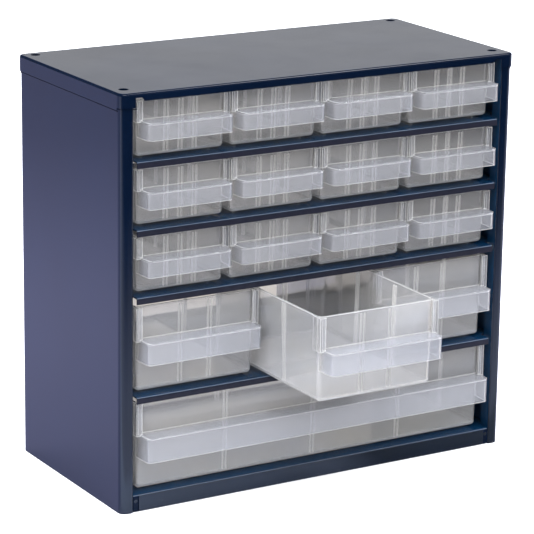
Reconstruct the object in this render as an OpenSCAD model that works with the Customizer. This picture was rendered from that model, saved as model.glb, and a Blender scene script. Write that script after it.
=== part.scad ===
// Parts bin cabinet: a casing of bent sheet steel with sixteen sliding drawers of
// frosted plastic, one large, three medium and three rows of four small ones.
// Millimetres: X to the right, Y to the back, Z up, with the origin in the middle of
// the flat underside. One medium drawer stands pulled out.

/* [Casing] */
// Width over the top cap
casing_w = 306; // [260:1:400]
// Depth over the top cap
casing_d = 150; // [125:1:200]
// Thickness of the sheet steel
sheet_t = 0.8; // [0.6:0.1:1]
// Width of each front post
post_w = 9.2; // [8:0.2:13]
// Depth of the return on the inner edge of a front post
post_return = 9.5; // [6:0.5:12]
// Width of the rear flange of a side panel
rear_flange_w = 11.2; // [8:0.2:14]
// Outside radius of the upright corners of a side panel
corner_r = 5; // [4:0.5:6]
// Outside radius of all other bends in the sheet
bend_r = 1.6; // [1.4:0.1:2]
// Play between the corners of the cap and those of the side panels
corner_play = 0.5; // [0.3:0.1:0.8]

/* [Top cap] */
// Height of the cap's side and rear flanges
cap_flange_h = 11; // [9:0.5:16]
// Height of the two tabs that lap over the front posts
cap_tab_h = 9.5; // [8:0.5:14]
// Width of each tab
cap_tab_w = 11; // [10:0.5:14]
// Height of the front flange between the tabs
cap_front_h = 5.6; // [4:0.2:7]
// Height of the front flange in the two notches next to the tabs
cap_notch_h = 3.2; // [2.6:0.2:3.6]
// Width of each notch
cap_notch_w = 4.8; // [3:0.2:8]
// Run of the slope between a notch and the front flange
cap_notch_slope = 1.7; // [0.5:0.1:3]
// Diameter of the four fixing holes
hole_d = 6.6; // [4:0.2:8]
// Distance of the holes from the sides of the cap
hole_inset_x = 9.5; // [7:0.5:14]
// Distance of the front holes from the front of the cap
hole_inset_front = 14; // [8:0.5:20]
// Distance of the rear holes from the rear of the cap
hole_inset_rear = 9; // [7:0.5:20]

/* [Base and shelves] */
// Height of the floor on which the large drawer slides
floor_z = 11.8; // [10:0.2:20]
// Distance from the floor's surface down to the top edge of the base rail
rail_drop = 0.7; // [0.4:0.1:1.2]
// Gap between each end of the base rail and the post
rail_gap = 4; // [3:0.5:6]
// Height taken by the large and by the medium drawers' row, shelf to shelf
tall_pitch = 67.8; // [55:0.2:90]
// Height taken by a row of small drawers, shelf to shelf
low_pitch = 45.2; // [38:0.2:60]
// Height of the lip at the front of a shelf
lip_h = 4.6; // [3:0.2:7]
// Gap between each end of a shelf's lip and the post
lip_gap = 2.5; // [1:0.5:4]
// Height of the flanges by which a shelf is welded to the side panels
shelf_flange_h = 6; // [4:0.5:8]
// Height of the stop at the rear of a shelf
stop_h = 6; // [3:0.5:10]
// Distance from the stop's rear face to the rear of the casing
stop_inset = 4.6; // [3:0.2:8]
// Running clearance between the wide part of a shelf and the posts
post_clearance = 0.7; // [0.3:0.1:1.5]

/* [Drawers] */
// How far the drawer fronts stand behind the front of the casing
front_setback = 4; // [2.5:0.5:6]
// Gap between a row of drawers and the post at each end
row_clearance = 4; // [2:0.5:6]
// Gap between neighbouring drawers
drawer_gap = 1.6; // [0.8:0.2:3]
// Running clearance under a drawer
slide_clearance = 0.2; // [0.1:0.1:0.4]
// Clearance between a closed drawer and the stop
stop_clearance = 0.6; // [0.3:0.1:1.5]
// Clearance over the small and the large drawers
head_clearance = 0.8; // [0.5:0.1:2]
// Clearance over the medium drawers
medium_head_clearance = 3.4; // [1:0.2:5]
// Thickness of the drawers' walls
wall_t = 1.4; // [1:0.1:1.5]
// How far a wall leans in from its top edge down to the bottom
draft = 1.5; // [1:0.1:1.5]
// Radius of the upright corners at the rim
tub_corner_r = 5; // [4:0.1:8]
// Radius of the rounded bottom edges
tub_bottom_r = 2.9; // [1.8:0.1:4]
// How far the tub is narrower on each side than the drawer front
tub_step = 0.6; // [0.4:0.1:0.9]
// How far the front wall stands behind the two label strips
window_setback = 3; // [2.4:0.2:4]
// Height of the runners under a drawer
runner_h = 1.2; // [0.8:0.1:2]
// Width of a runner
runner_w = 1.6; // [1:0.2:3]
// Distance from a runner's middle to the drawer's side
runner_inset = 9; // [7:0.5:12]
// Distance from each end of a runner to the drawer's front and rear
runner_end = 12; // [8:1:30]

/* [Label strips, handles and ribs] */
// Width of the label strip at each end of a drawer front
strip_w = 4.2; // [3:0.2:6]
// Thickness of a label strip
strip_t = 1.2; // [0.8:0.1:1.6]
// Thickness of the cheeks that carry the label strips
cheek_t = 1.6; // [1.4:0.1:2]
// How far a handle stands out in front of the label strips
handle_reach = 11; // [8:0.5:16]
// Distance from each end of a handle to the side of the drawer
handle_inset = 2.2; // [2:0.1:3]
// How far each end of a handle leans in towards its front
handle_taper = 0.8; // [0:0.1:1.5]
// Thickness of a handle's walls
handle_t = 1.2; // [1:0.1:1.6]
// Radius of a handle's upright corners
handle_corner_r = 3.2; // [2:0.2:4]
// Radius along a handle's upper front edge
handle_edge_r = 1; // [0.6:0.1:1.1]
// Height of the small drawers' handles
small_handle_h = 11.6; // [8:0.2:14]
// Height of the medium drawers' handles
medium_handle_h = 15; // [10:0.2:20]
// Height of the large drawer's handle
large_handle_h = 17; // [12:0.2:22]
// Distance from a small drawer's rim down to its handle
small_handle_drop = 12.8; // [9:0.2:15]
// Distance from a medium or large drawer's rim down to its handle
tall_handle_drop = 21.8; // [15:0.2:28]
// Thickness of the ribs that hold the dividers
rib_t = 0.8; // [0.5:0.1:1.2]
// How far the ribs stand out from the wall
rib_d = 1; // [0.6:0.1:1.5]
// Slot between the two ribs of a pair
rib_slot = 1.7; // [1.2:0.1:2.5]
// Distance from a drawer's rim down to the top of its ribs
rib_drop = 2; // [1:0.5:5]
// Distance between the rib pairs of a small drawer's front
small_rib_pitch = 10.6; // [7:0.2:16]
// Distance between the rib pairs of a medium drawer's front
medium_rib_pitch = 22; // [16:0.5:35]

/* [Pulled-out drawer] */
// How far the middle medium drawer is pulled out
pulled_out = 76; // [0:1:110]

/* [Hidden] */
$fn = 48;
overcut = 1; // how far a cutting shape passes beyond the surface it cuts
disc_t = 0.01; // thickness of the discs that a tub's rim starts from
tub_fn = 24; // number of facets round a tub's upright corners and bottom edges
// Numbers of drawers in the rows, from the top row down, and the names of their kinds
ROWS = [4, 4, 4, 3, 1];
KINDS = ["small", "small", "small", "medium", "large"];
PULLED = [3, 1]; // row and place of the drawer that stands pulled out
CASING_NODES = ["side_panel_left", "side_panel_right", "top_cap", "base_pan", "floor_shelf",
    "shelf_1", "shelf_2", "shelf_3", "shelf_4"];
function drawer_name(row, col) =
    KINDS[row] == "small" ? str("small_drawer_", row + 1, "_", col + 1)
    : KINDS[row] == "medium" ? str("medium_drawer_", col + 1)
    : "large_drawer";
DRAWER_NODES = [for (row = [0 : len(ROWS) - 1], col = [0 : ROWS[row] - 1]) drawer_name(row, col)];

steel_blue = "midnightblue";
frosted = [0.86, 0.87, 0.88, 0.55];

// Heights of the surfaces that the five rows of drawers slide on, from the top row down
function row_pitch(row) = KINDS[row] == "small" ? low_pitch : tall_pitch;
function row_z(row) = row == len(ROWS) - 1 ? floor_z : row_z(row + 1) + row_pitch(row + 1);
casing_h = row_z(0) + row_pitch(0);

// Casing: outer and inner faces of the side panels, and the planes of posts and rear flanges
side_x = casing_w / 2 - sheet_t;
side_inner_x = side_x - sheet_t;
post_x = side_x - post_w;
front_y = -casing_d / 2 + sheet_t;
rear_y = casing_d / 2 - sheet_t;
bend_line_r = bend_r - sheet_t / 2; // bend radius along the middle of the sheet
corner_line_r = corner_r - sheet_t / 2;
cap_corner_r = corner_r - corner_play + sheet_t;
side_h = casing_h - bend_r; // the side panels end below the inside of the cap's bend

// The wide part of a shelf lies between the posts' returns and the stop
wide_front_y = front_y + max(post_return, corner_r) + post_clearance;
stop_y = casing_d / 2 - stop_inset - sheet_t / 2;
wide_rear_y = min(stop_y - bend_r, rear_y - corner_r);
pan_flange_h = floor_z - shelf_flange_h - sheet_t / 2;

// Drawers
row_w = 2 * (post_x - row_clearance);
drawer_front_y = -casing_d / 2 + front_setback;
drawer_l = stop_y - sheet_t / 2 - stop_clearance - drawer_front_y;
small_h = low_pitch - max(lip_h, cap_front_h) - slide_clearance - head_clearance;
medium_h = tall_pitch - lip_h - slide_clearance - medium_head_clearance;
large_h = tall_pitch - lip_h - slide_clearance - head_clearance;
function drawer_w(row) = (row_w - (ROWS[row] - 1) * drawer_gap) / ROWS[row];
function drawer_x(row, col) = -row_w / 2 + drawer_w(row) / 2 + col * (drawer_w(row) + drawer_gap);

// Turns a shape that was extruded along Z so that it runs along X or along Y
module run_x() {
    rotate([90, 0, 90]) children();
}

module run_y() {
    rotate([90, 0, 0]) children();
}

// Extrudes an outline drawn in Y and Z along X, or one drawn in X and Z along Y
module along_x(length) {
    run_x() linear_extrude(length, center = true) children();
}

module along_y(length) {
    run_y() linear_extrude(length, center = true) children();
}

function unit(v) = v / norm(v);

// The points round one end of a straight run of sheet, which ends at p in the direction run.
// Where a bend follows, a tongue of half the sheet's thickness reaches into it.
function run_end(p, run, side, tongue) = tongue == 0 ? [p + side, p - side] : [
    p + side, p + side / 2, p + side / 2 + tongue * run,
    p - side / 2 + tongue * run, p - side / 2, p - side];

// Sheet bent at right angles along a line of points, length long and centred on Z = 0.
// Each inner point's third number is the bend's radius along the middle of the sheet.
module bent_sheet(points, length) {
    last = len(points) - 1;
    function at(i) = [points[i][0], points[i][1]];
    function bend(i) = i == 0 || i == last ? 0 : points[i][2];
    function tongue(i) = bend(i) == 0 ? 0 : sheet_t / 4;
    for (i = [0 : last - 1]) {
        run = unit(at(i + 1) - at(i));
        side = sheet_t / 2 * [-run[1], run[0]];
        start = at(i) + bend(i) * run;
        end = at(i + 1) - bend(i + 1) * run;
        linear_extrude(length, center = true) polygon(concat(
            run_end(end, run, side, tongue(i + 1)), run_end(start, -run, -side, tongue(i))));
    }
    for (i = [1 : last - 1]) {
        before = unit(at(i) - at(i - 1));
        after = unit(at(i + 1) - at(i));
        reach = bend(i) + sheet_t;
        translate(at(i) + bend(i) * (after - before)) linear_extrude(length, center = true)
            intersection() {
                difference() {
                    circle(bend(i) + sheet_t / 2);
                    circle(bend(i) - sheet_t / 2);
                }
                polygon([[0, 0], -reach * after, reach * (before - after), reach * before]);
            }
    }
}

// A convex outline whose corners are given as [x, y, radius]
module rounded_outline(corners) {
    count = len(corners);
    function at(i) = [corners[(i + count) % count][0], corners[(i + count) % count][1]];
    function to_previous(i) = unit(at(i - 1) - at(i));
    function to_next(i) = unit(at(i + 1) - at(i));
    function half_angle(i) = acos(to_previous(i) * to_next(i)) / 2;
    function tangent(i) = corners[i][2] / tan(half_angle(i));
    polygon([for (i = [0 : count - 1], run = corners[i][2] == 0 ? [[0, 0]] : [to_previous(i), to_next(i)])
        at(i) + tangent(i) * run]);
    for (i = [0 : count - 1]) if (corners[i][2] > 0)
        translate(at(i) + corners[i][2] / sin(half_angle(i)) * unit(to_previous(i) + to_next(i)))
            circle(corners[i][2]);
}

// Casing ------------------------------------------------------------------------------

// The right side panel: post with its return, side wall and rear flange in one piece
module side_panel() {
    color(steel_blue) translate([0, 0, side_h / 2]) bent_sheet([
        [post_x + sheet_t / 2, front_y + post_return],
        [post_x + sheet_t / 2, front_y + sheet_t / 2, bend_line_r],
        [side_x - sheet_t / 2, front_y + sheet_t / 2, corner_line_r],
        [side_x - sheet_t / 2, rear_y - sheet_t / 2, corner_line_r],
        [side_x - rear_flange_w, rear_y - sheet_t / 2]], side_h);
}

// A block w wide and d deep with rounded upright corners, centred on Z. Its children draw
// the right half of its section, from X = 0 out to $rim.
module round_block(w, d, upright_r) {
    for (side = [0, 1]) mirror([side, 0, 0]) along_y(d - 2 * upright_r) let ($rim = w / 2) children();
    for (side = [0, 1]) mirror([0, side, 0]) along_x(w - 2 * upright_r) let ($rim = d / 2) children();
    for (x = [-1, 1], y = [-1, 1]) translate([x * (w / 2 - upright_r), y * (d / 2 - upright_r), 0])
        rotate_extrude() let ($rim = upright_r) children();
}

// The cap's outer form with its top at Z = 0, or with inset its hollow
module cap_body(inset = 0) {
    edge_r = bend_r - inset;
    round_block(casing_w - 2 * inset, casing_d - 2 * inset, cap_corner_r - inset)
        translate([0, -inset]) {
            translate([0, -cap_flange_h]) square([$rim, cap_flange_h - edge_r]);
            translate([0, -cap_flange_h]) square([$rim - edge_r, cap_flange_h]);
            translate([$rim - edge_r, -edge_r]) circle(edge_r);
        }
}

// The opening under the front flange, which is cut higher next to the two tabs
module cap_front_opening() {
    tab_x = casing_w / 2 - cap_tab_w;
    notch_x = tab_x - cap_notch_w;
    flange_x = notch_x - cap_notch_slope;
    below = -cap_flange_h - overcut;
    along_y(4 * cap_corner_r) polygon([
        [-tab_x, below], [-tab_x, -cap_notch_h], [-notch_x, -cap_notch_h], [-flange_x, -cap_front_h],
        [flange_x, -cap_front_h], [notch_x, -cap_notch_h], [tab_x, -cap_notch_h], [tab_x, below]]);
}

module top_cap() {
    color(steel_blue) translate([0, 0, casing_h]) difference() {
        cap_body();
        cap_body(sheet_t);
        translate([0, -casing_d / 2, 0]) cap_front_opening();
        translate([-casing_w / 2 - overcut, -casing_d / 2 - overcut, -cap_flange_h - overcut])
            cube([casing_w + 2 * overcut, cap_corner_r + overcut, cap_flange_h - cap_tab_h + overcut]);
        for (x = [-1, 1], y = [-casing_d / 2 + hole_inset_front, casing_d / 2 - hole_inset_rear])
            translate([x * (casing_w / 2 - hole_inset_x), y, -sheet_t - overcut])
                cylinder(h = sheet_t + 2 * overcut, d = hole_d);
    }
}

// The bottom plate with the base rail in front, a rear flange and a low flange at each side
module base_pan() {
    rail_top = floor_z - rail_drop;
    color(steel_blue) union() {
        run_x() bent_sheet([
            [front_y + sheet_t / 2, rail_top],
            [front_y + sheet_t / 2, sheet_t / 2, bend_line_r],
            [rear_y - sheet_t / 2, sheet_t / 2, bend_line_r],
            [rear_y - sheet_t / 2, rail_top]], 2 * (post_x - rail_gap));
        wide_plate(sheet_t / 2, pan_flange_h);
    }
}

// The part of a plate that reaches the side panels, with a flange at each side that ends
// at the height flange_z
module wide_plate(line_z, flange_z) {
    line_x = side_inner_x - sheet_t / 2;
    translate([0, (wide_front_y + wide_rear_y) / 2, 0]) run_y() bent_sheet([
        [-line_x, flange_z],
        [-line_x, line_z, bend_line_r],
        [line_x, line_z, bend_line_r],
        [line_x, flange_z]], wide_rear_y - wide_front_y);
}

// A shelf with its surface at top_z: lip, plate and stop, and the flanges at the sides
module shelf(top_z, lip_height = lip_h, end_gap = lip_gap, setback = 0) {
    line_z = top_z - sheet_t / 2;
    lip_y = front_y + setback + sheet_t / 2;
    color(steel_blue) union() {
        run_x() bent_sheet([
            [lip_y, top_z - lip_height],
            [lip_y, line_z, bend_line_r],
            [stop_y, line_z, bend_line_r],
            [stop_y, top_z + stop_h]], 2 * (post_x - end_gap));
        wide_plate(line_z, top_z - shelf_flange_h);
    }
}

// The floor has a tall lip right behind the base rail, above the bend of the base pan. Beside
// the rail's ends, where it shows, the lip reaches on down in two tabs.
module floor_shelf() {
    lip_bottom = bend_r + slide_clearance;
    tab_x = post_x - rail_gap + slide_clearance;
    color(steel_blue) union() {
        shelf(floor_z, floor_z - lip_bottom, slide_clearance, sheet_t);
        for (side = [0, 1]) mirror([side, 0, 0])
            translate([tab_x, front_y + sheet_t, slide_clearance])
                cube([post_x - slide_clearance - tab_x, sheet_t, lip_bottom + sheet_t]);
    }
}

// Drawers -----------------------------------------------------------------------------
// A drawer is drawn with its label strips' front at Y = 0 and its runners' underside at
// Z = 0. w is its width and h its height.

// How far the leaning walls have moved in at height z
function lean(h, z) = draft * (h - z) / (h - runner_h);

// The tub's outer form: all walls lean in from the rim down to rounded bottom edges. With
// inset it is the smaller form that hollows the tub and passes the rim.
module tub_body(w, h, inset = 0) {
    half_w = w / 2 - tub_step - inset;
    half_l = (drawer_l - window_setback) / 2 - inset;
    rim_z = inset == 0 ? h : h + overcut;
    rim_r = tub_corner_r - inset;
    rim_in = lean(h, rim_z) + rim_r;
    foot_r = tub_bottom_r - inset;
    foot_z = runner_h + inset + foot_r;
    foot_in = lean(h, foot_z) + foot_r;
    translate([0, (window_setback + drawer_l) / 2, 0]) hull() for (x = [-1, 1], y = [-1, 1]) {
        translate([x * (half_w - rim_in), y * (half_l - rim_in), rim_z - disc_t])
            cylinder(h = disc_t, r = rim_r, $fn = tub_fn);
        translate([x * (half_w - foot_in), y * (half_l - foot_in), foot_z])
            sphere(foot_r, $fn = tub_fn);
    }
}

// A rib's outline on a wall that leans: base is the wall's inner face at the rim, and into
// the tub is +X of the outline
module rib_outline(h, base) {
    root = wall_t / 4;
    top = h - rib_drop;
    bottom = runner_h + wall_t - root;
    polygon([[base + lean(h, top) - root, top], [base + lean(h, top) + rib_d, top],
        [base + lean(h, bottom) + rib_d, bottom], [base + lean(h, bottom) - root, bottom]]);
}

// The ribs that hold dividers: pairs on the front and rear walls at the places in across,
// and pairs on both side walls at a third and at two thirds of the length
module ribs(w, h, across) {
    offset_x = (rib_slot + rib_t) / 2;
    inside_l = drawer_l - window_setback;
    for (x = across, pair = [-offset_x, offset_x]) translate([x + pair, 0, 0]) {
        along_x(rib_t) rib_outline(h, window_setback + wall_t);
        translate([0, drawer_l, 0]) mirror([0, 1, 0]) along_x(rib_t) rib_outline(h, wall_t);
    }
    for (y = [inside_l / 3, 2 * inside_l / 3], pair = [-offset_x, offset_x], side = [0, 1])
        mirror([side, 0, 0]) translate([-w / 2, window_setback + y + pair, 0])
            along_y(rib_t) rib_outline(h, tub_step + wall_t);
}

// A label strip on its cheek at the right end of the front, from the handle up to the rim
module label_strip(w, h, bottom) {
    cheek_l = window_setback + tub_corner_r + wall_t;
    translate([w / 2 - strip_w, 0, bottom]) cube([strip_w, strip_t, h - bottom]);
    translate([w / 2 - cheek_t, 0, bottom]) cube([cheek_t, cheek_l, h - bottom]);
}

// The handle, an upturned trough open below and closed at its ends. It reaches back to
// where the tub's upright corners begin, and the tub's hollow trims it.
module handle_body(w, bottom, top, back, inset) {
    half_back = w / 2 - handle_inset - inset;
    half_front = half_back - handle_taper;
    front = -handle_reach + inset;
    intersection() {
        translate([0, 0, bottom]) linear_extrude(top - bottom) rounded_outline([
            [-half_front, front, handle_corner_r - inset], [half_front, front, handle_corner_r - inset],
            [half_back, back, 0], [-half_back, back, 0]]);
        along_x(w) rounded_outline([
            [front, bottom, 0], [back, bottom, 0],
            [back, top, 0], [front, top, max(0, handle_edge_r - inset)]]);
    }
}

module handle(w, h, handle_h, drop) {
    top = h - drop;
    bottom = top - handle_h;
    back = window_setback + tub_corner_r;
    difference() {
        handle_body(w, bottom, top, back, 0);
        handle_body(w, bottom - overcut, top - handle_t, back + overcut, handle_t);
    }
}

module runners(w) {
    for (side = [-1, 1]) translate([side * (w / 2 - runner_inset) - runner_w / 2, runner_end, 0])
        cube([runner_w, drawer_l - 2 * runner_end, runner_h + wall_t / 2]);
}

module drawer(w, h, handle_h, drop, across) {
    color(frosted) union() {
        difference() {
            union() {
                tub_body(w, h);
                for (side = [0, 1]) mirror([side, 0, 0]) label_strip(w, h, h - drop - handle_t);
                handle(w, h, handle_h, drop);
                runners(w);
            }
            tub_body(w, h, wall_t);
        }
        ribs(w, h, across);
    }
}

// The drawer of one place in the casing
module drawer_at(row, col) {
    w = drawer_w(row);
    out = [row, col] == PULLED ? pulled_out : 0;
    translate([drawer_x(row, col), drawer_front_y - out, row_z(row) + slide_clearance]) {
        if (KINDS[row] == "small")
            drawer(w, small_h, small_handle_h, small_handle_drop, small_rib_pitch * [-1, 0, 1]);
        if (KINDS[row] == "medium")
            drawer(w, medium_h, medium_handle_h, tall_handle_drop, medium_rib_pitch * [-0.5, 0.5]);
        if (KINDS[row] == "large")
            drawer(w, large_h, large_handle_h, tall_handle_drop, w / 4 * [-1, 0, 1]);
    }
}

mirror([1, 0, 0]) side_panel();  // side_panel_left
side_panel();  // side_panel_right
top_cap();
base_pan();
floor_shelf();
shelf(row_z(0));  // shelf_1
shelf(row_z(1));  // shelf_2
shelf(row_z(2));  // shelf_3
shelf(row_z(3));  // shelf_4
for (row = [0 : len(ROWS) - 1], col = [0 : ROWS[row] - 1])
    drawer_at(row, col);
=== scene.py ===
import math

import bmesh
import bpy
from mathutils import Matrix, Vector


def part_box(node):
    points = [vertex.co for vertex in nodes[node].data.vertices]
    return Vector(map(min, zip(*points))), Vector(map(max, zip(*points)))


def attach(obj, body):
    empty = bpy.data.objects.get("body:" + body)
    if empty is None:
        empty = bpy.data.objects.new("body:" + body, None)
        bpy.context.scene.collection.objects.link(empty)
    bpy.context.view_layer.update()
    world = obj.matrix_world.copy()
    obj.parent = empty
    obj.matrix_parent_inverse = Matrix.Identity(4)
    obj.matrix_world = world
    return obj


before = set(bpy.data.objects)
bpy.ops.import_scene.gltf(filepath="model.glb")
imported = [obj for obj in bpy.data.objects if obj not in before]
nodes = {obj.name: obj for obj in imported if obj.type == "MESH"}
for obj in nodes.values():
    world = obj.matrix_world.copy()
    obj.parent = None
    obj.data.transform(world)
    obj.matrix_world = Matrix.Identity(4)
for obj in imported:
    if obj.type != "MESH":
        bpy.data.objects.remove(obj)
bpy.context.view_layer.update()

MM = 0.001
X, Y, Z = Vector((1, 0, 0)), Vector((0, 1, 0)), Vector((0, 0, 1))
WHITE, BLACK = (1, 1, 1, 1), (0, 0, 0, 1)


def new_object(name, data):
    """An object of the scene that shows the given data."""
    made = bpy.data.objects.new(name, data)
    bpy.context.scene.collection.objects.link(made)
    return made


# Camera ----------------------------------------------------------------------------------
CAMERA_AT = Vector((-0.9186, -1.5274, 0.6324))
CAMERA_YAW, CAMERA_PITCH, CAMERA_ROLL = 0.5423, -0.2739, 0.0147    # radians
LENS, SENSOR_WIDTH = 179.04, 36.0                                  # millimetres


def camera():
    """A camera that looks along +Y before it is turned by its yaw, pitch and roll."""
    data = bpy.data.cameras.new("camera")
    data.lens = LENS
    data.sensor_width = SENSOR_WIDTH
    made = new_object("camera", data)
    bpy.context.scene.camera = made
    forward = Vector((math.sin(CAMERA_YAW) * math.cos(CAMERA_PITCH),
                      math.cos(CAMERA_YAW) * math.cos(CAMERA_PITCH),
                      math.sin(CAMERA_PITCH)))
    level_right = forward.cross(Z).normalized()
    level_up = level_right.cross(forward)
    right = math.cos(CAMERA_ROLL) * level_right + math.sin(CAMERA_ROLL) * level_up
    up = math.cos(CAMERA_ROLL) * level_up - math.sin(CAMERA_ROLL) * level_right
    turned = Matrix((right, up, -forward)).transposed().to_4x4()
    made.matrix_world = Matrix.Translation(CAMERA_AT) @ turned


camera()


# Shader nodes ----------------------------------------------------------------------------
MIX_SHARE, MIX_FIRST, MIX_SECOND, MIX_RESULT = 0, 6, 7, 2    # sockets of a Mix node for colours
BEVEL_SAMPLES = 4
EDGE_FROM, EDGE_FULL = 0.995, 0.80                           # cosines of the rounded normal's turn
NOISE_CORE, NOISE_SPAN = (0.35, 0.65), (0.3, 0.7)            # where noise goes from low to high


def new_material(name):
    """A material, with its node tree and its shader."""
    material = bpy.data.materials.new(name)
    material.use_nodes = True
    tree = material.node_tree
    return material, tree, tree.nodes["Principled BSDF"]


def set_inputs(tree, node, inputs):
    """Links each input whose value is another node's output, and sets the others."""
    for key, value in inputs.items():
        if isinstance(value, bpy.types.NodeSocket):
            tree.links.new(value, node.inputs[key])
        else:
            node.inputs[key].default_value = value


def add(tree, kind, inputs=None, **settings):
    """The outputs of a new node of the given kind."""
    node = tree.nodes.new(kind)
    for key, value in settings.items():
        setattr(node, key, value)
    set_inputs(tree, node, inputs or {})
    return node.outputs


def times(tree, first, second):
    return add(tree, "ShaderNodeMath", {0: first, 1: second}, operation="MULTIPLY")[0]


def plus(tree, first, second):
    return add(tree, "ShaderNodeMath", {0: first, 1: second}, operation="ADD")[0]


def dot(tree, first, second):
    return add(tree, "ShaderNodeVectorMath", {0: first, 1: second}, operation="DOT_PRODUCT")["Value"]


def noise(tree, coords, scale, detail=2.0, roughness=0.5, stretch=(1, 1, 1)):
    mapped = add(tree, "ShaderNodeMapping", {"Vector": coords, "Scale": stretch})[0]
    return add(tree, "ShaderNodeTexNoise", {"Vector": mapped, "Scale": scale, "Detail": detail,
                                            "Roughness": roughness})["Fac"]


def between(tree, value, low, high, out_low=0.0, out_high=1.0, curve="LINEAR"):
    """The value mapped from low and high to out_low and out_high, and held there beyond them."""
    ends = {"Value": value, "From Min": low, "From Max": high, "To Min": out_low, "To Max": out_high}
    return add(tree, "ShaderNodeMapRange", ends, interpolation_type=curve)[0]


def mix_colour(tree, share, first, second):
    """The first colour with a share of the second, which is 0 to 1."""
    inputs = {MIX_SHARE: share, MIX_FIRST: first, MIX_SECOND: second}
    return add(tree, "ShaderNodeMix", inputs, data_type="RGBA")[MIX_RESULT]


def rounded_edge_highlight(tree, radius):
    """The normal rounded over edges by radius, and how far it turns from the flat one, 0 to 1; the
    second masks the painted highlight and painted glow on the plastic's edges.
    """
    rounded = add(tree, "ShaderNodeBevel", {"Radius": radius}, samples=BEVEL_SAMPLES)[0]
    flat = add(tree, "ShaderNodeNewGeometry")["Normal"]
    return rounded, between(tree, dot(tree, rounded, flat), EDGE_FROM, EDGE_FULL)


# Painted steel ---------------------------------------------------------------------------
PAINT_DARK, PAINT_LIGHT = (0.0012, 0.0054, 0.018, 1), (0.0016, 0.0070, 0.023, 1)
LIT_INSIDE_BLUE = (0.0030, 0.031, 0.082, 1)     # painted light: a lighter, clearer blue on the paint inside the casing
# Painted reflection: the shelves' front lips are painted greyer than the rest of the paint, standing
# in for the floor that they mirror
LIP_REFLECTION_GREY = (0.019, 0.020, 0.032, 1)
# Painted highlight: the bend between a shelf's top and its lip is painted pale, a thin light line
BEND_HIGHLIGHT = (0.11, 0.14, 0.19, 1)
PAINT_IOR = 1.5
PAINT_ROUGHNESS = (0.13, 0.19)              # clean, and smudged
CLOUD_SCALE, SMUDGE_SCALE, PEEL_SCALE = 14.0, 22.0, 700.0
PEEL_STRENGTH, PEEL_DEPTH = 0.10, 0.2 * MM
GLOSSY, DULL = 0.5, 0.12                    # specular levels, outside and on the shelves

# A tone paints light, a highlight or a reflection on the surfaces that face one way. It is a
# direction, the painted colour of surfaces that face it, and the cosines of the angle to it where
# that colour starts and is full
FACE_ON = (0.90, 0.97)
# Painted light: surfaces that face up, and the side panels' faces that face inward, are painted a
# lighter blue
LIT_TOP_TONE = ((0, 0, 1), LIT_INSIDE_BLUE, *FACE_ON)
LIP_REFLECTION_TONE = ((0, -1, 0), LIP_REFLECTION_GREY, *FACE_ON)
BEND_HIGHLIGHT_TONE = ((0, -0.707, 0.707), BEND_HIGHLIGHT, 0.965, 0.99)
LIT_FACES_RIGHT_TONE = ((1, 0, 0), LIT_INSIDE_BLUE, *FACE_ON)
LIT_FACES_LEFT_TONE = ((-1, 0, 0), LIT_INSIDE_BLUE, *FACE_ON)


def painted_steel(name, specular, painted_tones=()):
    """Dark blue stove enamel over sheet steel, with faint clouds, smudges and orange peel, and with
    painted light, highlights and reflections from its tones.
    """
    material, tree, shader = new_material(name)
    coords = add(tree, "ShaderNodeTexCoord")["Object"]
    clouds = noise(tree, coords, CLOUD_SCALE, detail=3.0)
    base = mix_colour(tree, between(tree, clouds, *NOISE_CORE), PAINT_DARK, PAINT_LIGHT)
    normal = add(tree, "ShaderNodeNewGeometry")["Normal"]
    for direction, colour, start, full in painted_tones:
        facing = between(tree, dot(tree, normal, direction), start, full)
        base = mix_colour(tree, facing, base, colour)
    smudges = noise(tree, coords, SMUDGE_SCALE, detail=4.0, roughness=0.6)
    peel = noise(tree, coords, PEEL_SCALE)
    bump = add(tree, "ShaderNodeBump", {"Height": peel, "Strength": PEEL_STRENGTH,
                                        "Distance": PEEL_DEPTH})[0]
    set_inputs(tree, shader, {
        "Base Color": base,
        "Specular IOR Level": specular,
        "Roughness": between(tree, smudges, *NOISE_SPAN, *PAINT_ROUGHNESS),
        "IOR": PAINT_IOR,
        "Normal": bump})
    return material


# Frosted plastic -------------------------------------------------------------------------
PLASTIC_COOL, PLASTIC_WHITE = (0.90, 0.91, 0.94, 1), (0.94, 0.94, 0.94, 1)
# The edge colour is a painted highlight: the plastic's edges are painted whiter
PLASTIC_HANDLE, PLASTIC_EDGE_HIGHLIGHT = (0.85, 0.87, 0.93, 1), (0.98, 0.98, 0.98, 1)
PLASTIC_IOR = 1.49
PLASTIC_ROUGHNESS = (0.035, 0.055)
CLEARNESS = {"small": 0.855, "medium": 0.80, "large": 0.80}
FLOW_SCALE, FLOW_STRETCH = 18.0, (1, 1, 2.5)
FLOW_HAZE = 0.01                            # how much clearer or hazier the flow marks are
EDGE_RADIUS = 0.7 * MM
EDGE_CLEARNESS, FOOT_CLEARNESS = 0.2, 0.7   # shares of the clearness that they keep
# Painted glow: emission on the tubs' edges and on their foot, which are no lamps
EDGE_GLOW, FOOT_GLOW = 0.25, 0.03
FOOT_FROM, FOOT_TO = 1.5 * MM, 5 * MM       # heights where the foot's look is full and gone
HANDLE_REACH = 11 * MM                      # how far the handle stands out in front of the tub
HANDLE_FADE = 0.1                           # share of the reach over which its colour fades


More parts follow.
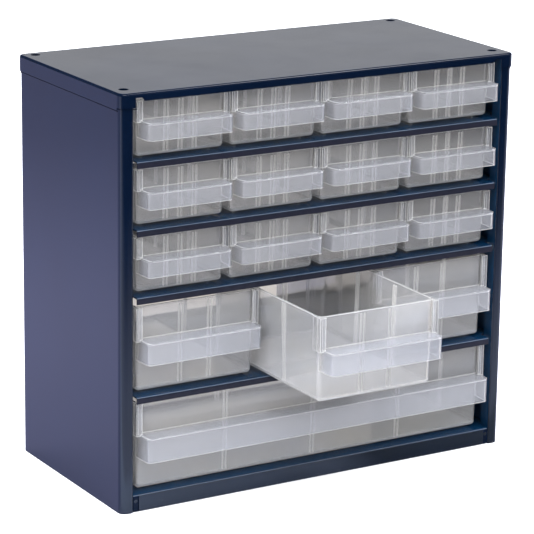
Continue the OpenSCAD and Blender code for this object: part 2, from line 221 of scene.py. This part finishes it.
def frosted_plastic(kind, clearness, size):
    """Milky polypropylene for drawers of one kind and size: clear enough to see through, with a
    white haze. Its edges are painted whiter and given a painted glow, and its foot a faint painted
    glow and more haze; these stand in for the light that runs inside the walls and comes out there.
    The handle is cooler than the tub."""
    material, tree, shader = new_material(kind + "_frosted_plastic")
    texture = add(tree, "ShaderNodeTexCoord")
    along = add(tree, "ShaderNodeSeparateXYZ", {0: texture["Generated"]})
    reach = HANDLE_REACH / size.y
    handle = between(tree, along["Y"], (1 + HANDLE_FADE) * reach, (1 - HANDLE_FADE) * reach)
    # The foot mask: the tub's bottom gets more haze and a faint painted glow
    foot = between(tree, along["Z"], FOOT_TO / size.z, FOOT_FROM / size.z)
    flow = noise(tree, texture["Object"], FLOW_SCALE, stretch=FLOW_STRETCH)
    rounded, edge = rounded_edge_highlight(tree, EDGE_RADIUS)
    base = mix_colour(tree, between(tree, flow, *NOISE_CORE), PLASTIC_COOL, PLASTIC_WHITE)
    base = mix_colour(tree, handle, base, PLASTIC_HANDLE)
    # Painted highlight: the edges are painted whiter
    base = mix_colour(tree, edge, base, PLASTIC_EDGE_HIGHLIGHT)
    clear = between(tree, flow, *NOISE_SPAN, clearness + FLOW_HAZE, clearness - FLOW_HAZE)
    clear = times(tree, clear, between(tree, edge, 0.0, 1.0, 1.0, EDGE_CLEARNESS))
    clear = times(tree, clear, between(tree, foot, 0.0, 1.0, 1.0, FOOT_CLEARNESS))
    set_inputs(tree, shader, {
        "Base Color": base,
        "IOR": PLASTIC_IOR,
        "Transmission Weight": clear,
        "Roughness": between(tree, flow, *NOISE_SPAN, *PLASTIC_ROUGHNESS),
        "Emission Color": WHITE,
        # Painted glow on the edges and the foot
        "Emission Strength": plus(tree, times(tree, edge, EDGE_GLOW), times(tree, foot, FOOT_GLOW)),
        "Normal": rounded})
    return material


# Materials of the CAD nodes ----------------------------------------------------------------
STEEL = painted_steel("painted_steel", GLOSSY)
MATERIALS = {                               # by how the nodes' names start; the rest are STEEL
    # Copies of the steel with painted light on the shelves, the floor shelf and the side panels; the
    # shelves also get a painted highlight and a painted reflection, the floor shelf a painted
    # highlight
    "shelf": painted_steel("shelf_painted_steel", DULL, [LIT_TOP_TONE, BEND_HIGHLIGHT_TONE, LIP_REFLECTION_TONE]),
    "floor_shelf": painted_steel("floor_painted_steel", DULL, [LIT_TOP_TONE, BEND_HIGHLIGHT_TONE]),
    "side_panel_left": painted_steel("left_panel_painted_steel", GLOSSY, [LIT_FACES_RIGHT_TONE]),
    "side_panel_right": painted_steel("right_panel_painted_steel", GLOSSY, [LIT_FACES_LEFT_TONE])}
# A drawer of each kind, which gives the kind's size
FIRST_OF = {"small": "small_drawer_1_1", "medium": "medium_drawer_1", "large": "large_drawer"}
for kind, first in FIRST_OF.items():
    low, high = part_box(first)
    MATERIALS[kind] = frosted_plastic(kind, CLEARNESS[kind], high - low)
for name, node in nodes.items():
    material = next((paint for start, paint in MATERIALS.items() if name.startswith(start)), STEEL)
    if not node.material_slots:
        node.data.materials.append(material)
    for slot in node.material_slots:
        slot.material = material


# Small forms of the sheet steel ------------------------------------------------------------
CAP_LOW, CAP_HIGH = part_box("top_cap")
PANEL_LOW, PANEL_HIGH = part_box("side_panel_right")
CORNER_R = 5 * MM             # outside radius of a side panel's upright corners
CORNER_STEPS = 10
FLANGE_INNER = 141 * MM       # inner edge of the panels' rear flanges and of the cap's tabs
TAB_RISE = 1.5 * MM           # how much higher the cap's front tabs end than its side flanges
TAB_DEPTH = 5.3 * MM          # how far the tabs' height reaches round the corners
SEAM_GAP = 0.75 * MM          # open seam between the cap's edge and the step below it
STEP_SHARE = 0.6              # how far the step stands out, as a share of what the cap does
STEP_H = 0.45 * MM
STEP_SUNK = 0.1 * MM          # how far the step reaches into the panel
HOLE_R = 3.3 * MM             # radius of the holes in the cap
HOLE_IN_X = 9.5 * MM          # how far in from the cap's sides the holes are
HOLE_IN_FRONT, HOLE_IN_REAR = 14 * MM, 9 * MM
COLLAR_T, COLLAR_H = 0.7 * MM, 3.0 * MM
COLLAR_SUNK = 0.3 * MM        # how far under the cap's top a collar starts
WELD_X, WELD_Z = 141 * MM, 7.8 * MM
ROUND_STEPS = 32              # facets round a collar or a weld mark
SHARP_ANGLE = math.radians(50)

# Profiles of the round forms: radius, and height along the axis
COLLAR_PROFILE = [(HOLE_R, 0), (HOLE_R + 0.1 * MM, 0), (HOLE_R + COLLAR_T, 0.4 * MM),
                  (HOLE_R + COLLAR_T, COLLAR_H), (HOLE_R, COLLAR_H)]
WELD_PROFILE = [(0.3 * MM, 0.02 * MM), (0.6 * MM, 0.04 * MM), (0.9 * MM, 0.20 * MM),
                (1.2 * MM, 0.20 * MM), (1.5 * MM, -0.02 * MM)]


def casing_piece(name, work):
    """Turns the bmesh work into a steel piece of the casing."""
    bmesh.ops.recalc_face_normals(work, faces=work.faces)
    mesh = bpy.data.meshes.new(name)
    work.to_mesh(mesh)
    work.free()
    mesh.materials.append(STEEL)
    for face in mesh.polygons:
        face.use_smooth = True
    mesh.set_sharp_from_angle(angle=SHARP_ANGLE)
    piece = new_object(name, mesh)
    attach(piece, "casing")


def bridge(work, row, following, pairs):
    """Faces from one row of points to the following one, for that many pairs of neighbours."""
    for first in range(pairs):
        second = (first + 1) % len(row)
        work.faces.new((row[first], row[second], following[second], following[first]))


def panel_route(side, seam_y):
    """Points with outward directions along a side panel's outer face, from the rear flange round
    both corners to the front post, apart in two runs at y = seam_y."""
    face_x, rear_y, front_y = PANEL_HIGH.x, PANEL_HIGH.y, PANEL_LOW.y
    route = [((FLANGE_INNER, rear_y), (0, 1))]
    for centre_y, start in ((rear_y - CORNER_R, 90), (front_y + CORNER_R, 0)):
        for step in range(CORNER_STEPS + 1):
            turn = math.radians(start - 90 * step / CORNER_STEPS)
            out_x, out_y = math.cos(turn), math.sin(turn)
            at = (face_x - CORNER_R + CORNER_R * out_x, centre_y + CORNER_R * out_y)
            route.append((at, (out_x, out_y)))
    route.append(((FLANGE_INNER, front_y), (0, -1)))
    behind = [stop for stop in route if stop[0][1] >= seam_y]
    before = [stop for stop in route if stop[0][1] < seam_y]
    return [[((side * x, y), (side * out_x, out_y)) for (x, y), (out_x, out_y) in run]
            for run in (behind, before)]


def seam_step(name, run, top):
    """The small step round a side panel, close under the cap's edge, that leaves a dark seam
    there. Its profile is how far out and how far down."""
    proud = STEP_SHARE * (CAP_HIGH.x - PANEL_HIGH.x)
    profile = [(-STEP_SUNK, 0), (proud, 0), (proud, STEP_H), (-STEP_SUNK, STEP_H)]
    work = bmesh.new()
    rows = [[work.verts.new((x + out * out_x, y + out * out_y, top - down)) for out, down in profile]
            for (x, y), (out_x, out_y) in run]
    for row, following in zip(rows, rows[1:]):
        bridge(work, row, following, len(profile))
    work.faces.new(rows[0])
    work.faces.new(rows[-1])
    casing_piece(name, work)


def revolved(name, centre, axes, profile, closed):
    """A profile turned about the third axis through centre. A closed profile makes a ring. An
    open one makes a mound, with its two ends filled."""
    across, up_way, axis = axes
    work = bmesh.new()
    rings = []
    for step in range(ROUND_STEPS):
        turn = 2 * math.pi * step / ROUND_STEPS
        out = math.cos(turn) * across + math.sin(turn) * up_way
        rings.append([work.verts.new(centre + radius * out + height * axis)
                      for radius, height in profile])
    for ring, following in zip(rings, rings[1:] + rings[:1]):
        bridge(work, ring, following, len(profile) if closed else len(profile) - 1)
    if not closed:
        work.faces.new([ring[0] for ring in rings])
        work.faces.new([ring[-1] for ring in rings])
    casing_piece(name, work)


for side, word in ((-1, "left"), (1, "right")):
    tab_y = CAP_LOW.y + TAB_DEPTH
    side_run, front_run = panel_route(side, tab_y)
    seam_step("seam_step_" + word, side_run, CAP_LOW.z - SEAM_GAP)
    seam_step("seam_step_front_" + word, front_run, CAP_LOW.z + TAB_RISE - SEAM_GAP)
    for place, y in (("front", CAP_LOW.y + HOLE_IN_FRONT), ("rear", CAP_HIGH.y - HOLE_IN_REAR)):
        collar_at = Vector((side * (CAP_HIGH.x - HOLE_IN_X), y, CAP_HIGH.z - COLLAR_SUNK))
        revolved("hole_collar_" + place + "_" + word, collar_at, (X, Y, -Z), COLLAR_PROFILE, True)
    lip_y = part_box("floor_shelf")[0].y
    weld_at = Vector((side * WELD_X, lip_y, WELD_Z))
    revolved("spot_weld_" + word, weld_at, (X, Z, -Y), WELD_PROFILE, False)


# Floor -----------------------------------------------------------------------------------
FLOOR_SIZE = 6.0
FLOOR_WHITE = (0.93, 0.93, 0.93, 1)
FLOOR_GLOW = 0.35                             # added for the camera alone, so that it sees white
FLOOR_BOUNCE = (0.50, 0.50, 0.50, 1)
FLOOR_ROUGHNESS = 0.9
# Painted shade: seen through the drawers, the floor is darker and warmer, standing in for the shade
# behind and under the cabinet
FLOOR_SHADED_THROUGH_DRAWERS = (0.42, 0.38, 0.335, 1)
MIRRORED_NEAR = (0.36, 0.36, 0.565, 1)
MIRRORED_FAR = (0.20, 0.20, 0.32, 1)
MIRRORED_AHEAD = (0.51, 0.53, 0.60, 1)
MIRRORED_CLOSE_LEFT = (0.72, 0.82, 1.0, 1)
MIRRORED_CLOSE_RIGHT = (0.23, 0.24, 0.20, 1)
NEAR_TO, FAR_FROM = 0.55, 1.15                # distances from the origin
BESIDE_TO, AHEAD_FROM = -0.065, -0.080        # y, just in front of the casing
CLOSE_TO, CLOSE_FROM = -0.15, -0.12           # y, right at the cabinet's foot
LEFT_TO, RIGHT_FROM = 0.02, 0.06              # x, at the cabinet's foot
DARK_FROM, DARK_TO = -0.15, -0.72             # y, towards the dark end of the studio


def floor():
    """A pale floor. Mirror images of it are bluish, and fade in front, where the studio is dark. Seen
    through the drawers it carries painted shade.
    """
    mesh = bpy.data.meshes.new("floor")
    half = FLOOR_SIZE / 2
    corners = [(-half, -half, 0), (half, -half, 0), (half, half, 0), (-half, half, 0)]
    mesh.from_pydata(corners, [], [(0, 1, 2, 3)])
    piece = new_object("floor", mesh)
    material, tree, shader = new_material("floor")
    path = add(tree, "ShaderNodeLightPath")
    place = add(tree, "ShaderNodeNewGeometry")["Position"]
    at = add(tree, "ShaderNodeSeparateXYZ", {0: place})
    distance = add(tree, "ShaderNodeVectorMath", {0: place}, operation="LENGTH")["Value"]
    beside = mix_colour(tree, between(tree, distance, NEAR_TO, FAR_FROM), MIRRORED_NEAR, MIRRORED_FAR)
    ahead = mix_colour(tree, between(tree, at["Y"], DARK_FROM, DARK_TO), MIRRORED_AHEAD, BLACK)
    close = mix_colour(tree, between(tree, at["X"], LEFT_TO, RIGHT_FROM),
                       MIRRORED_CLOSE_LEFT, MIRRORED_CLOSE_RIGHT)
    ahead = mix_colour(tree, between(tree, at["Y"], CLOSE_TO, CLOSE_FROM), ahead, close)
    mirrored = mix_colour(tree, between(tree, at["Y"], BESIDE_TO, AHEAD_FROM), beside, ahead)
    colour = mix_colour(tree, path["Is Glossy Ray"], FLOOR_BOUNCE, mirrored)
    colour = mix_colour(tree, path["Is Transmission Ray"], colour, FLOOR_SHADED_THROUGH_DRAWERS)
    colour = mix_colour(tree, path["Is Camera Ray"], colour, FLOOR_WHITE)
    set_inputs(tree, shader, {
        "Base Color": colour,
        "Roughness": FLOOR_ROUGHNESS,
        "Specular IOR Level": 0.0,
        "Emission Color": WHITE,
        "Emission Strength": times(tree, path["Is Camera Ray"], FLOOR_GLOW)})
    mesh.materials.append(material)


# White surroundings ------------------------------------------------------------------------
MIRRORED_FRONT, MIRRORED_BACK = 0.18, 0.70    # levels of the room in front and behind
MIRRORED_LEFT = 0.15                          # share of them that the left side keeps
MIRRORED_ABOVE = (0.04, 0.04, 0.05, 1)
AMBIENT_LOW = (0.38, 0.39, 0.41, 1)
AMBIENT_HIGH = (2.40, 2.45, 2.60, 1)
BEHIND_OPEN_BACK = (0.94, 0.85, 0.75, 1)

# Where they begin and end, in the x, y and z of the direction that is looked in
FRONT_TO, BACK_FROM = -0.5, 0.5               # y
LEFT_SIDE_TO, MIDDLE_FROM = -0.2, 0.1         # x
LOW_TO, ABOVE_FROM = 0.25, 0.36               # z, for mirror images
AMBIENT_LOW_TO, AMBIENT_HIGH_FROM = 0.35, 0.60    # z, for the light


def surroundings():
    """A white backdrop, with mirror images of a room that is dark above, on the left and in
    front, and with its light mostly from above."""
    world = bpy.data.worlds.new("world")
    bpy.context.scene.world = world
    world.use_nodes = True
    tree = world.node_tree
    path = add(tree, "ShaderNodeLightPath")
    way = add(tree, "ShaderNodeSeparateXYZ", {0: add(tree, "ShaderNodeTexCoord")["Generated"]})
    level = between(tree, way["Y"], FRONT_TO, BACK_FROM, MIRRORED_FRONT, MIRRORED_BACK, "SMOOTHSTEP")
    level = times(tree, level, between(tree, way["X"], LEFT_SIDE_TO, MIDDLE_FROM, MIRRORED_LEFT, 1.0))
    above = between(tree, way["Z"], LOW_TO, ABOVE_FROM, curve="SMOOTHSTEP")
    mirrored = mix_colour(tree, above, level, MIRRORED_ABOVE)
    overhead = between(tree, way["Z"], AMBIENT_LOW_TO, AMBIENT_HIGH_FROM, curve="SMOOTHSTEP")
    ambient = mix_colour(tree, overhead, AMBIENT_LOW, AMBIENT_HIGH)
    colour = mix_colour(tree, path["Is Glossy Ray"], ambient, mirrored)
    colour = mix_colour(tree, path["Is Transmission Ray"], colour, BEHIND_OPEN_BACK)
    colour = mix_colour(tree, path["Is Camera Ray"], colour, WHITE)
    set_inputs(tree, tree.nodes["Background"], {"Color": colour, "Strength": 1.0})


# Lamps -----------------------------------------------------------------------------------
AIM = Vector((0, 0, 0.14))                    # the middle of the casing


def area_light(name, at, size, power, colour=(1, 1, 1), mirrored=True):
    """A soft square light. One that isn't mirrored leaves no streak of its own on glossy edges."""
    light = bpy.data.lights.new(name, "AREA")
    light.shape = "SQUARE"
    light.size = size
    light.energy = power
    light.color = colour
    lamp = new_object(name, light)
    lamp.location = at
    lamp.rotation_euler = (AIM - Vector(at)).to_track_quat("-Z", "Y").to_euler()
    lamp.visible_glossy = mirrored


floor()
surroundings()
area_light("overhead", (0.75, -0.50, 1.40), size=0.45, power=5.0)
area_light("front", (-0.5, -1.3, 2.1), size=1.6, power=24.0, colour=(0.94, 0.97, 1.0))
area_light("left", (-1.5, -0.3, 1.0), size=1.2, power=10.0, mirrored=False)

BOUNCES = 24                                  # enough for light to pass a row of drawers' walls
bpy.context.scene.view_settings.view_transform = "Standard"
bpy.context.scene.cycles.max_bounces = BOUNCES
bpy.context.scene.cycles.transmission_bounces = BOUNCES
